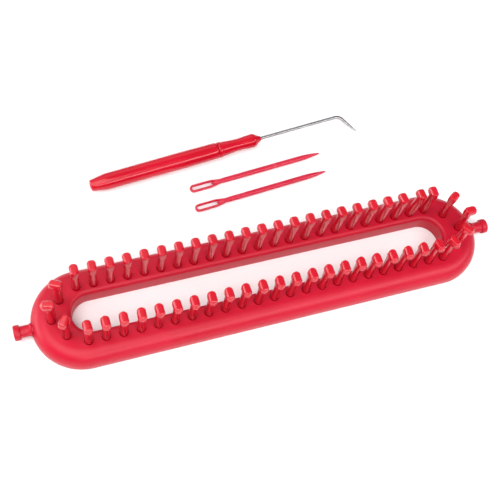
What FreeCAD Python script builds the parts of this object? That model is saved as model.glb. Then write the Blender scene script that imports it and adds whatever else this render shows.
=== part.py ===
import FreeCAD, Part
import math
import os

V = FreeCAD.Vector
Z = V(0, 0, 1)

# Long peg loom with its hook tool and two yarn needles, all lying on one table top.
# Millimetres. X runs along the loom, Z up. The origin is the middle of the loom's
# opening, on the table top.

# ---- loom frame, two straights and two half-round ends ----
row_pegs = 23
peg_pitch = 10.0
frame_width = 59.2
frame_height = 12.0
side_band = 18.3
end_band = 23.4
shoulder_radius = 8.6
inner_edge_radius = 2.6
wall_thickness = 2.4
deck_thickness = 2.4
row_length = peg_pitch * (row_pegs - 1)
frame_length = row_length + frame_width
opening_half_width = frame_width / 2.0 - side_band
opening_length = frame_length - 2 * end_band

# ---- where the pegs stand, from the opening's edge and from the frame's outer edge ----
row_setback = 5.5
corner_peg_inset = 14.0
end_peg_inset = 12.1
corner_peg_angle = 44.5
row_half_spacing = opening_half_width + row_setback
corner_peg_radius = frame_width / 2.0 - corner_peg_inset
end_peg_radius = frame_width / 2.0 - end_peg_inset
yaw_wander = 2.2
bent_peg = "peg_back_22"
bent_peg_lean = 5.0
turned_pegs = {"peg_left_1": 19.0, "peg_left_2": -14.0, "peg_left_3": 7.0, "peg_right_1": -10.0,
               "peg_front_22": 14.0, "peg_front_23": 20.0}

# ---- peg ----
peg_height = 24.8
stem_radius_foot = 2.35
stem_radius_top = 2.05
head_width = 5.0
head_inner_reach = 3.2
head_outer_reach = 4.5
head_top_fall = 0.4
lip_length = 1.1
lip_drop = 2.6
lip_front = 0.7
lip_undercut = 0.9
head_depth = head_top_fall + lip_drop + lip_front + lip_undercut
head_crown_radius = 1.7
head_inner_corner = 1.0
head_outer_corner = 1.9
gusset_start = 3.0
gusset_tip_width = 0.5
gusset_waist_width = 2.3
gusset_flare = 3.6
gusset_inset = 0.3
groove_width = 1.3
groove_depth = 0.8
groove_start = 0.8
spigot_radius = 1.9
spigot_length = 7.0
spigot_root = 0.5

# ---- peg sockets ----
press_clearance = 0.04
socket_rim_gap = 0.4
socket_rim_depth = 1.0
boss_wall = 1.9
boss_tip_clearance = 1.0
rib_thickness = 1.6
rib_depth = 5.0
rib_every = 4

# ---- end knobs ----
neck_radius = 3.4
neck_length = 6.2
flange_radius = 4.5
flange_thickness = 3.6
flange_edge = 0.8
table_clearance = 0.2
knob_axis_height = flange_radius + table_clearance
knob_seat_depth = 2.2
tenon_radius = 2.4
tenon_length = 5.0
tenon_boss_wall = 1.8

# ---- hook tool ----
tool_tail_x = -87.3
tool_tail_gap = 53.7
tool_heading = 5.2
barrel_length = 84.0
barrel_radius = 5.3
barrel_rear_radius = 5.1
tail_radius = 3.6
tail_taper = 10.5
grip_length = 30.0
collar_radius = 4.95
waist_radius = 3.85
bulb_radius = 4.45
nose_radius = 1.45
grip_tenon_radius = 3.1
grip_tenon_length = 9.0
tool_axis_height = max(barrel_radius, collar_radius, bulb_radius)
shank_radius = 1.05
shank_reach = 56.7
shank_embed = 26.0
hook_length = 14.6
hook_swing = 52.0
hook_tip_radius = 0.5
hook_bend_radius = 6.0

# ---- yarn needles ----
needle_length = 90.0
needle_heading = 4.85
needle_1_x = -27.5
needle_1_gap = 39.3
needle_2_x = -27.9
needle_2_gap = 25.3
needle_shaft_radius = 1.65
shaft_swell = 0.05
needle_head_width = 5.2
needle_head_thickness = 2.4
needle_neck_length = 6.0
eye_length = 12.4
eye_width = 2.5
eye_margin = 1.8
needle_head_length = eye_length + 2 * eye_margin
needle_point_length = 12.0
needle_point_radius = 0.4


def racetrack(length, width, z):
    """Closed wire of two straights and two half circles, centred on the origin."""
    r = width / 2.0
    s = length / 2.0 - r
    edges = []
    edges.append(Part.LineSegment(V(-s, -r, z), V(s, -r, z)).toShape())
    edges.append(Part.Arc(V(s, -r, z), V(s + r, 0, z), V(s, r, z)).toShape())
    edges.append(Part.LineSegment(V(s, r, z), V(-s, r, z)).toShape())
    edges.append(Part.Arc(V(-s, r, z), V(-s - r, 0, z), V(-s, -r, z)).toShape())
    return Part.Wire(edges)


def slab(length, width, z0, z1):
    """Upright racetrack block from z0 to z1."""
    return Part.Face(racetrack(length, width, z0)).extrude(V(0, 0, z1 - z0))


def edges_at(shape, z):
    """Edges lying wholly at height z."""
    found = []
    for edge in shape.Edges:
        box = edge.BoundBox
        if abs(box.ZMin - z) < 1e-4 and abs(box.ZMax - z) < 1e-4:
            found.append(edge)
    return found


def polygon(points, along):
    """Prism made from a closed run of corner points, extruded by a vector."""
    return Part.Face(Part.makePolygon(points + [points[0]])).extrude(along)


def turned(profile):
    """Solid of revolution about X from (x, radius) points, closed on the axis."""
    points = [V(profile[0][0], 0, 0)]
    for x, r in profile:
        points.append(V(x, 0, r))
    points.append(V(profile[-1][0], 0, 0))
    face = Part.Face(Part.makePolygon(points + [points[0]]))
    return face.revolve(V(0, 0, 0), V(1, 0, 0), 360)


def save(shape, node):
    shape.exportStep("parts/" + node + ".step")


# ---- where the pegs stand: name, x, y, outward direction in degrees ----
def peg_places():
    places = []
    arc_x = row_length / 2.0
    for i in range(row_pegs):
        x = i * peg_pitch - arc_x
        places.append(("peg_back_%02d" % (i + 1), x, row_half_spacing, 90.0))
        places.append(("peg_front_%02d" % (i + 1), x, -row_half_spacing, -90.0))
    ends = [(1, corner_peg_angle, corner_peg_radius), (2, 0.0, end_peg_radius)]
    ends.append((3, -corner_peg_angle, corner_peg_radius))
    for number, angle, radius in ends:
        x = arc_x + radius * math.cos(math.radians(angle))
        y = radius * math.sin(math.radians(angle))
        places.append(("peg_right_%d" % number, x, y, angle))
        places.append(("peg_left_%d" % number, -x, y, 180.0 - angle))
    return places


# ---- one peg, foot on z = 0, its hook pointing along +X ----
def make_peg():
    head_base = peg_height - head_depth
    foot = -socket_rim_depth
    stem_top = head_base + 0.5 * head_depth
    stem = Part.makeCone(stem_radius_foot, stem_radius_top, stem_top - foot, V(0, 0, foot))

    # the hooked head is where its plan, its side view and its arched end view meet
    half = head_width / 2.0
    reach = head_outer_reach + head_inner_reach
    plan = Part.makeBox(reach, head_width, head_depth, V(-head_inner_reach, -half, head_base))
    upright = [e for e in plan.Edges if e.BoundBox.ZLength > head_depth - 0.01]
    plan = plan.makeFillet(head_outer_corner, [e for e in upright if e.BoundBox.XMin > 0])
    upright = [e for e in plan.Edges if e.BoundBox.ZLength > head_depth - 0.01]
    at_back = -head_inner_reach + 0.01
    plan = plan.makeFillet(head_inner_corner, [e for e in upright if e.BoundBox.XMax < at_back])
    side = [V(-head_inner_reach, -half, head_base), V(-head_inner_reach, -half, peg_height)]
    side.append(V(head_outer_reach - lip_length, -half, peg_height - head_top_fall))
    side.append(V(head_outer_reach, -half, peg_height - head_top_fall - lip_drop))
    side.append(V(head_outer_reach, -half, head_base + lip_undercut))
    side.append(V(stem_radius_top, -half, head_base))
    head = plan.common(polygon(side, V(0, head_width, 0)))
    corner = V(-head_inner_reach - 1, -half, head_base - 2)
    arch = Part.makeBox(reach + 2, head_width, head_depth + 2, corner)
    crown = []
    for edge in arch.Edges:
        box = edge.BoundBox
        if box.XLength > reach and abs(box.ZMin - peg_height) < 0.01:
            crown.append(edge)
    head = head.common(arch.makeFillet(head_crown_radius, crown))

    # flat gusset on the inner side, a slim blade that flares out under the head
    tip = gusset_tip_width / 2.0
    waist = gusset_waist_width / 2.0
    wide = half - gusset_inset
    waist_z = head_base - gusset_flare
    inner = -head_inner_reach
    gusset = [V(inner, -tip, gusset_start), V(inner, tip, gusset_start), V(inner, waist, waist_z)]
    gusset += [V(inner, wide, head_base + 0.4), V(inner, -wide, head_base + 0.4), V(inner, -waist, waist_z)]
    web = polygon(gusset, V(head_inner_reach, 0, 0))

    # shallow groove down the outer face of the stem
    corner = V(stem_radius_top - groove_depth, -groove_width / 2.0, groove_start)
    groove = Part.makeBox(groove_depth + 2.0, groove_width, head_base, corner)
    above = stem.cut(groove).fuse([head, web]).removeSplitter()
    spigot = Part.makeCylinder(spigot_radius, spigot_length + spigot_root, V(0, 0, foot - spigot_length))
    return above, spigot


def place_peg(above, spigot, name, x, y, heading, index):
    """Seat a peg. The bent one keeps its spigot upright and leans from its foot."""
    upper = above.copy()
    yaw = heading + turned_pegs.get(name, 0.0) + yaw_wander * math.sin(2.4 * index)
    upper.rotate(V(0, 0, 0), Z, yaw)
    if name == bent_peg:
        upper.rotate(V(0, 0, -socket_rim_depth), V(0, 1, 0), bent_peg_lean)
        upper = upper.common(Part.makeBox(60, 60, 60, V(-30, -30, -socket_rim_depth)))
    peg = upper.fuse(spigot).removeSplitter()
    peg.translate(V(x, y, frame_height))
    return peg


# ---- frame: one hollow moulding, open underneath ----
def make_frame(places):
    body = slab(frame_length, frame_width, 0, frame_height)
    body = body.makeFillet(shoulder_radius, edges_at(body, frame_height))
    opening_width = 2 * opening_half_width
    hole = slab(opening_length, opening_width, -1, frame_height + 1)
    body = body.cut(hole)
    rim = []
    for edge in edges_at(body, frame_height):
        box = edge.BoundBox
        if max(box.YMax, -box.YMin) < opening_half_width + 0.01:
            rim.append(edge)
    body = body.makeFillet(inner_edge_radius, rim)

    ceiling = frame_height - deck_thickness
    cut = 2 * wall_thickness
    channel = slab(frame_length - cut, frame_width - cut, -1, ceiling)
    channel = channel.makeFillet(shoulder_radius - wall_thickness, edges_at(channel, ceiling))
    channel = channel.cut(slab(opening_length + cut, opening_width + cut, -2, ceiling + 1))
    shell = body.cut(channel)

    # socket bosses under the deck, every few of them ribbed to the outer wall
    socket_radius = spigot_radius + press_clearance
    boss_radius = socket_radius + boss_wall
    boss_foot = frame_height - socket_rim_depth - spigot_length - boss_tip_clearance
    inside = []
    for n, place in enumerate(places):
        name, x, y, heading = place
        inside.append(Part.makeCylinder(boss_radius, ceiling + 0.5 - boss_foot, V(x, y, boss_foot)))
        if (n // 2) % rib_every == 0:
            corner = V(0, -rib_thickness / 2.0, ceiling - rib_depth + 0.5)
            rib = Part.makeBox(frame_width / 2.0, rib_thickness, rib_depth, corner)
            rib.rotate(V(0, 0, 0), Z, heading)
            rib.translate(V(x, y, 0))
            inside.append(rib)

    # a level boss behind each end knob
    end_x = frame_length / 2.0
    tenon_hole = tenon_radius + press_clearance
    for sx in (-1, 1):
        start = V(sx * (end_x - wall_thickness / 2.0), 0, knob_axis_height)
        deep = knob_seat_depth + tenon_length + boss_tip_clearance - wall_thickness / 2.0
        inside.append(Part.makeCylinder(tenon_hole + tenon_boss_wall, deep, start, V(-sx, 0, 0)))
    room = body.common(slab(frame_length - wall_thickness, frame_width - wall_thickness, 0, frame_height))
    trimmed = inside[0].fuse(inside[1:]).common(room)
    shell = shell.fuse(trimmed)

    cuts = []
    for name, x, y, heading in places:
        cuts.append(Part.makeCylinder(socket_radius, frame_height + 2, V(x, y, -1)))
        rim_floor = frame_height - socket_rim_depth
        cuts.append(Part.makeCylinder(stem_radius_foot + socket_rim_gap, 5, V(x, y, rim_floor)))
    for sx in (-1, 1):
        seat = V(sx * (end_x - knob_seat_depth), 0, knob_axis_height)
        cuts.append(Part.makeCylinder(neck_radius + press_clearance, 10, seat, V(sx, 0, 0)))
        cuts.append(Part.makeCylinder(tenon_hole, tenon_length + 0.2, seat, V(-sx, 0, 0)))
    for tool in cuts:
        shell = shell.cut(tool)
    return shell.removeSplitter()


def make_knob(sx):
    """Spool-shaped anchor knob, tenon in the frame's end."""
    seat = frame_length / 2.0 - knob_seat_depth
    neck_end = frame_length / 2.0 + neck_length
    tip = neck_end + flange_thickness
    profile = [(seat - tenon_length, tenon_radius), (seat, tenon_radius), (seat, neck_radius)]
    profile += [(neck_end - 0.5, neck_radius), (neck_end, flange_radius - flange_edge)]
    profile += [(neck_end + 0.3, flange_radius), (tip - flange_edge, flange_radius)]
    profile += [(tip, flange_radius - flange_edge)]
    knob = turned(profile)
    knob.translate(V(0, 0, knob_axis_height))
    if sx < 0:
        knob.rotate(V(0, 0, 0), Z, 180)
    return knob


# ---- hook tool, built along +X with its tail at x = 0 and its axis on z = 0 ----
def make_tool():
    seam = barrel_length
    barrel = turned([
        (0, tail_radius - 0.8),
        (0.8, tail_radius),
        (tail_taper * 0.5, tail_radius + 0.62 * (barrel_rear_radius - tail_radius)),
        (tail_taper, barrel_rear_radius),
        (seam * 0.45, barrel_rear_radius + 0.05),
        (seam * 0.78, barrel_radius),
        (seam - 4.0, barrel_radius - 0.15),
        (seam - 0.6, barrel_radius - 0.25),
        (seam, barrel_radius - 0.8),
    ])
    bore = grip_tenon_radius + press_clearance
    barrel = barrel.cut(Part.makeCylinder(bore, grip_tenon_length, V(seam, 0, 0), V(-1, 0, 0)))

    # collar, long waist, bulb and nose, the bulb measured back from the nose
    nose = seam + grip_length
    curve = [(seam - grip_tenon_length, grip_tenon_radius), (seam, grip_tenon_radius)]
    curve += [(seam, collar_radius - 0.7), (seam + 0.6, collar_radius), (seam + 2.6, collar_radius - 0.05)]
    curve += [(seam + 3.0, collar_radius - 0.45)]
    curve += [(seam + 0.23 * grip_length, 0.45 * collar_radius + 0.55 * waist_radius)]
    curve += [(seam + 0.4 * grip_length, waist_radius + 0.05), (seam + 0.55 * grip_length, waist_radius)]
    curve += [(nose - 9.5, waist_radius + 0.25), (nose - 7.0, bulb_radius - 0.1), (nose - 5.4, bulb_radius)]
    curve += [(nose - 4.2, bulb_radius - 0.35), (nose - 2.6, 0.5 * (bulb_radius + nose_radius))]
    curve += [(nose, nose_radius)]
    grip = turned(curve)
    hole = shank_radius + press_clearance
    grip = grip.cut(Part.makeCylinder(hole, shank_embed, V(nose, 0, 0), V(-1, 0, 0)))

    # steel rod with a bent end whose tip droops to the table top
    drop = tool_axis_height - hook_tip_radius
    droop = math.asin(drop / hook_length)
    flat = hook_length * math.cos(droop)
    bend = V(nose + shank_reach, 0, 0)
    swing = math.radians(-hook_swing)
    tip = bend + V(flat * math.cos(swing), flat * math.sin(swing), -drop)
    ahead = V(1, 0, 0)
    out = (tip - bend).normalize()
    turn = math.acos(ahead.dot(out))
    setback = hook_bend_radius * math.tan(turn / 2.0)
    start = V(nose - shank_embed, 0, 0)
    arc_in = bend - ahead * setback
    arc_out = bend + out * setback
    middle = (out - ahead).normalize()
    centre = bend + middle * (hook_bend_radius / math.cos(turn / 2.0))
    arc_mid = centre - middle * hook_bend_radius
    line = Part.LineSegment(start, arc_in).toShape()
    arc = Part.Arc(arc_in, arc_mid, arc_out).toShape()
    path = Part.Wire([line, arc])
    disc = Part.Wire([Part.makeCircle(shank_radius, start, ahead)])
    rod = path.makePipeShell([disc], True, True)
    tail = (tip - arc_out).Length
    point = Part.makeCone(shank_radius, hook_tip_radius, tail, arc_out, out)
    ball = Part.makeSphere(hook_tip_radius, tip)
    rod = rod.fuse([point, ball]).removeSplitter()

    made = [("tool_barrel", barrel), ("tool_grip", grip), ("tool_hook", rod)]
    for node, shape in made:
        shape.rotate(V(0, 0, 0), Z, tool_heading)
        shape.translate(V(tool_tail_x, frame_width / 2.0 + tool_tail_gap, tool_axis_height))
    return made


# ---- yarn needle, built along +X with its eye end at x = 0 ----
def make_needle(x, gap):
    half = needle_head_width / 2.0
    r = needle_shaft_radius
    neck_end = needle_head_length + needle_neck_length
    low = -needle_head_thickness / 2.0
    edges = []
    edges.append(Part.Arc(V(half, half, low), V(0, 0, low), V(half, -half, low)).toShape())
    corners = [V(half, -half, low), V(needle_head_length, -half, low), V(neck_end, -r, low)]
    corners += [V(neck_end, r, low), V(needle_head_length, half, low), V(half, half, low)]
    for a, b in zip(corners, corners[1:]):
        edges.append(Part.LineSegment(a, b).toShape())
    plate = Part.Face(Part.Wire(edges)).extrude(V(0, 0, needle_head_thickness))
    flats = [e for e in plate.Edges if e.BoundBox.ZLength < 0.01 and e.BoundBox.XMin < neck_end - 0.1]
    plate = plate.makeFillet(0.55, flats)

    e = eye_width / 2.0
    a = eye_margin + e
    b = eye_margin + eye_length - e
    slot = Part.makeBox(b - a, eye_width, 10, V(a, -e, -5))
    slot = slot.fuse([Part.makeCylinder(e, 10, V(a, 0, -5)), Part.makeCylinder(e, 10, V(b, 0, -5))])

    shaft = turned([
        (needle_head_length - 0.4, 0.5),
        (neck_end - 1.5, r),
        (needle_length - needle_point_length, r + shaft_swell),
        (needle_length - 0.6 * needle_point_length, 0.8 * r),
        (needle_length - 0.5, needle_point_radius + 0.15),
        (needle_length, 0.5 * needle_point_radius),
    ])
    needle = plate.fuse(shaft).cut(slot.removeSplitter()).removeSplitter()
    needle.rotate(V(0, 0, 0), Z, needle_heading)
    needle.translate(V(x, frame_width / 2.0 + gap, r + shaft_swell))
    return needle


os.makedirs("parts", exist_ok=True)
places = peg_places()
save(make_frame(places), "loom_frame")
above, spigot = make_peg()
for index, place in enumerate(places):
    name, x, y, heading = place
    save(place_peg(above, spigot, name, x, y, heading, index), name)
save(make_knob(-1), "knob_left")
save(make_knob(1), "knob_right")
for node, shape in make_tool():
    save(shape, node)
save(make_needle(needle_1_x, needle_1_gap), "needle_1")
save(make_needle(needle_2_x, needle_2_gap), "needle_2")
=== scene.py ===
import math

import bmesh
import bpy
from mathutils import Matrix, Vector


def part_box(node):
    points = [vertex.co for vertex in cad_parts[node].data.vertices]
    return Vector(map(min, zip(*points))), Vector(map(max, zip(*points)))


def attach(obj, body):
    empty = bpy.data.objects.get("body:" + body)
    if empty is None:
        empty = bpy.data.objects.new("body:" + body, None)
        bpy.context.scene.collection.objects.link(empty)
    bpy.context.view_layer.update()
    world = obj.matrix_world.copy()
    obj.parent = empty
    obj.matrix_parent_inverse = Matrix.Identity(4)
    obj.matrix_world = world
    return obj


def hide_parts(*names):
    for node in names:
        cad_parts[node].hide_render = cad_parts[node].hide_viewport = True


# Looks for the long peg loom, its hook tool and its two yarn needles.
# Shapes are worked out in millimetres and scaled to metres when a piece is finished.

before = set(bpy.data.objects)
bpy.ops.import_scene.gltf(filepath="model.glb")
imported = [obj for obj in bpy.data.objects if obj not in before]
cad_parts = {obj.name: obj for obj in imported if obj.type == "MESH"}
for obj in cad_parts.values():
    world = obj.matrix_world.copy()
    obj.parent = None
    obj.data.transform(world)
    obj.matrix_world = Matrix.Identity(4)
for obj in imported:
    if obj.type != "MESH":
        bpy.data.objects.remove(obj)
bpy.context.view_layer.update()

MM = 0.001
rad = math.radians

# ---- loom sizes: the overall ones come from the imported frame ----
frame_low, frame_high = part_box("loom_frame")
frame_size = (frame_high - frame_low) / MM
FRAME_WIDTH = frame_size.y
FRAME_HEIGHT = frame_size.z
ROW_PEGS = len([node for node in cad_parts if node.startswith("peg_back_")])
ROW_LENGTH = frame_size.x - FRAME_WIDTH
PITCH = ROW_LENGTH / (ROW_PEGS - 1)
SIDE_BAND = 18.3
END_BAND = 23.4
OUTER_RADIUS = FRAME_WIDTH / 2
SLOT_RADIUS = OUTER_RADIUS - SIDE_BAND
SLOT_STRAIGHT = frame_size.x - 2 * END_BAND - 2 * SLOT_RADIUS
SHOULDER = 8.6
SLOT_EDGE = 2.6
WALL = 2.4
DECK = 2.4
BASE_EDGE = 0.5
FLAT_MARGIN = 0.3
SLOT_MARGIN = 0.1

# ---- pegs ----
ROW_OFFSET = SLOT_RADIUS + 5.5
CORNER_RING = OUTER_RADIUS - 14.0
END_RING = OUTER_RADIUS - 12.1
CORNER_ANGLE = 44.5
YAW_WANDER = 2.2
BENT_PEG = "peg_back_22"
BENT_LEAN = 5.0
TURNED = {"peg_left_1": 19.0, "peg_left_2": -14.0, "peg_left_3": 7.0, "peg_right_1": -10.0,
          "peg_front_22": 14.0, "peg_front_23": 20.0}
PEG_HEIGHT = 24.8
HEAD_BASE = 20.2
HEAD_HALF = 2.5
HEAD_INNER = 3.2
HEAD_OUTER = 4.5
HEAD_FALL = 0.4
CHAMFER = 0.95
CHAMFER_DROP = 1.2
LIP_START = 2.85
LIP_CURVE = 0.8
LIP_TILT = 67.0
LIP_ROLL = 1.0
LIP_TOP = 21.8
LIP_BASE = 21.1
INNER_CORNER = 1.8
INNER_ROUND = 0.5
OUTER_CORNER = 2.1
GUSSET_SETBACK = 0.3
STEM_FOOT = 2.35
STEM_TOP = 2.05
SOCKET_RADIUS = 2.75
SOCKET_DEPTH = 1.0
SPIGOT_RADIUS = 1.9
SPIGOT_LENGTH = 7.0
SPIGOT_CHAMFER = 0.4
STEM_CHAMFER = 0.1
STEM_KNEE = 12.0
STEM_INTO_HEAD = 2.3
GROOVE_HALF = 0.65
GROOVE_DEPTH = 0.8
GROOVE_CORNER = 0.2
GROOVE_FOOT = 0.8
GUSSET_FOOT = 3.0
GUSSET_TIP = 0.28
GUSSET_WAIST = 1.15
GUSSET_WAIST_DROP = 3.4
GUSSET_INTO_HEAD = 0.4
GUSSET_MARGIN = 0.35

# ---- under the deck ----
BOSS_RADIUS = 3.84
BOSS_FOOT = 3.0
BOSS_CHAMFER = 0.2
BORE_CLEARANCE = 0.04
RIB_HALF = 0.8
RIB_FOOT = 5.1
RIB_SLANT = 1.8
CEILING_SINK = 0.1

# ---- anchor knobs ----
KNOB_NECK = 3.4
KNOB_NECK_LENGTH = 6.2
KNOB_FLANGE_LENGTH = 3.6
KNOB_TENON = 2.2
KNOB_FILLET = 0.6
KNOB_ROUND = 0.8


# ======================================================================================
# node trees
# ======================================================================================

class Wiring:
    """Adds nodes to a tree: a value that is a socket is linked, any other is set."""

    def __init__(self, tree):
        self.tree = tree

    def add(self, kind, inputs=None, **settings):
        node = self.tree.nodes.new(kind)
        for name, value in settings.items():
            setattr(node, name, value)
        for name, value in (inputs or {}).items():
            socket = node.inputs[name]
            if isinstance(value, (list, tuple)) and value and isinstance(value[0], bpy.types.NodeSocket):
                for source in value:
                    self.tree.links.new(source, socket)
            elif isinstance(value, bpy.types.NodeSocket):
                self.tree.links.new(value, socket)
            else:
                socket.default_value = value
        return node

    def math(self, operation, first, second=0.0, third=0.0, clamp=False):
        inputs = {0: first, 1: second, 2: third}
        return self.add("ShaderNodeMath", inputs, operation=operation, use_clamp=clamp).outputs[0]


def new_tree(name, kind, inputs, outputs):
    """A node group with named sockets, given as (name, socket type, default)."""
    tree = bpy.data.node_groups.new(name, kind)
    for label, socket_type, default in inputs:
        socket = tree.interface.new_socket(label, in_out="INPUT", socket_type=socket_type)
        if default is not None:
            socket.default_value = default
    for label, socket_type in outputs:
        tree.interface.new_socket(label, in_out="OUTPUT", socket_type=socket_type)
    wiring = Wiring(tree)
    given = wiring.add("NodeGroupInput").outputs
    result = wiring.add("NodeGroupOutput").inputs
    return tree, wiring, given, result


GEOMETRY = "NodeSocketGeometry"
NUMBER = "NodeSocketFloat"
COUNT = "NodeSocketInt"
MATERIAL = "NodeSocketMaterial"
THING = "NodeSocketObject"


def make_plant_tree():
    """Stands a copy of one piece on every point, turned by the point's own angles."""
    tree, w, given, result = new_tree("plant_on_points", "GeometryNodeTree", [
        ("Places", GEOMETRY, None),
        ("Piece", THING, None),
        ("Material", MATERIAL, None),
    ], [("Geometry", GEOMETRY)])
    piece = w.add("GeometryNodeObjectInfo", {"Object": given["Piece"]})
    turn = w.add("GeometryNodeInputNamedAttribute", {"Name": "turn"}, data_type="FLOAT_VECTOR")
    turned = w.add("FunctionNodeEulerToRotation", {"Euler": turn.outputs["Attribute"]})
    planted = w.add("GeometryNodeInstanceOnPoints", {
        "Points": given["Places"],
        "Instance": piece.outputs["Geometry"],
        "Rotation": turned.outputs["Rotation"],
    })
    real = w.add("GeometryNodeRealizeInstances", {"Geometry": planted.outputs["Instances"]})
    painted = w.add("GeometryNodeSetMaterial", {
        "Geometry": real.outputs["Geometry"], "Material": given["Material"]})
    w.tree.links.new(painted.outputs["Geometry"], result["Geometry"])
    return tree


def make_rod_tree():
    """Sweeps a round or oval section along a line of points, each with its own girth."""
    tree, w, given, result = new_tree("rod_on_line", "GeometryNodeTree", [
        ("Line", GEOMETRY, None),
        ("Sides", COUNT, 32),
        ("Width", NUMBER, 1.0),
        ("Height", NUMBER, 1.0),
        ("Material", MATERIAL, None),
    ], [("Geometry", GEOMETRY)])
    line = w.add("GeometryNodeMeshToCurve", {"Mesh": given["Line"]})
    level = w.add("GeometryNodeSetCurveNormal", {"Curve": line.outputs[0]}, mode="Z_UP")
    girth = w.add("GeometryNodeInputNamedAttribute", {"Name": "girth"}, data_type="FLOAT")
    circle = w.add("GeometryNodeCurvePrimitiveCircle", {"Resolution": given["Sides"], "Radius": 1.0})
    scale = w.add("ShaderNodeCombineXYZ", {"X": given["Width"], "Y": given["Height"], "Z": 1.0})
    section = w.add("GeometryNodeTransform", {
        "Geometry": circle.outputs["Curve"], "Scale": scale.outputs[0]})
    swept = w.add("GeometryNodeCurveToMesh", {
        "Curve": level.outputs[0],
        "Profile Curve": section.outputs[0],
        "Scale": girth.outputs["Attribute"],
        "Fill Caps": True,
    })
    real = w.add("GeometryNodeRealizeInstances", {"Geometry": swept.outputs["Mesh"]})
    painted = w.add("GeometryNodeSetMaterial", {
        "Geometry": real.outputs["Geometry"], "Material": given["Material"]})
    w.tree.links.new(painted.outputs["Geometry"], result["Geometry"])
    return tree


def make_racetrack_tree():
    """Flat closed line of two straights and two half circles."""
    tree, w, given, result = new_tree("racetrack", "GeometryNodeTree", [
        ("Straight", NUMBER, 100.0),
        ("Radius", NUMBER, 10.0),
        ("Segments", COUNT, 130),
    ], [("Curve", GEOMETRY)])
    circle = w.add("GeometryNodeCurvePrimitiveCircle", {
        "Resolution": given["Segments"], "Radius": given["Radius"]})
    place = w.add("GeometryNodeInputPosition")
    parts = w.add("ShaderNodeSeparateXYZ", {0: place.outputs[0]})
    side = w.math("SIGN", parts.outputs["X"])
    half = w.math("MULTIPLY", given["Straight"], 0.5)
    shift = w.add("ShaderNodeCombineXYZ", {"X": w.math("MULTIPLY", side, half)})
    moved = w.add("GeometryNodeSetPosition", {
        "Geometry": circle.outputs["Curve"], "Offset": shift.outputs[0]})
    w.tree.links.new(moved.outputs[0], result["Curve"])
    return tree


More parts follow.
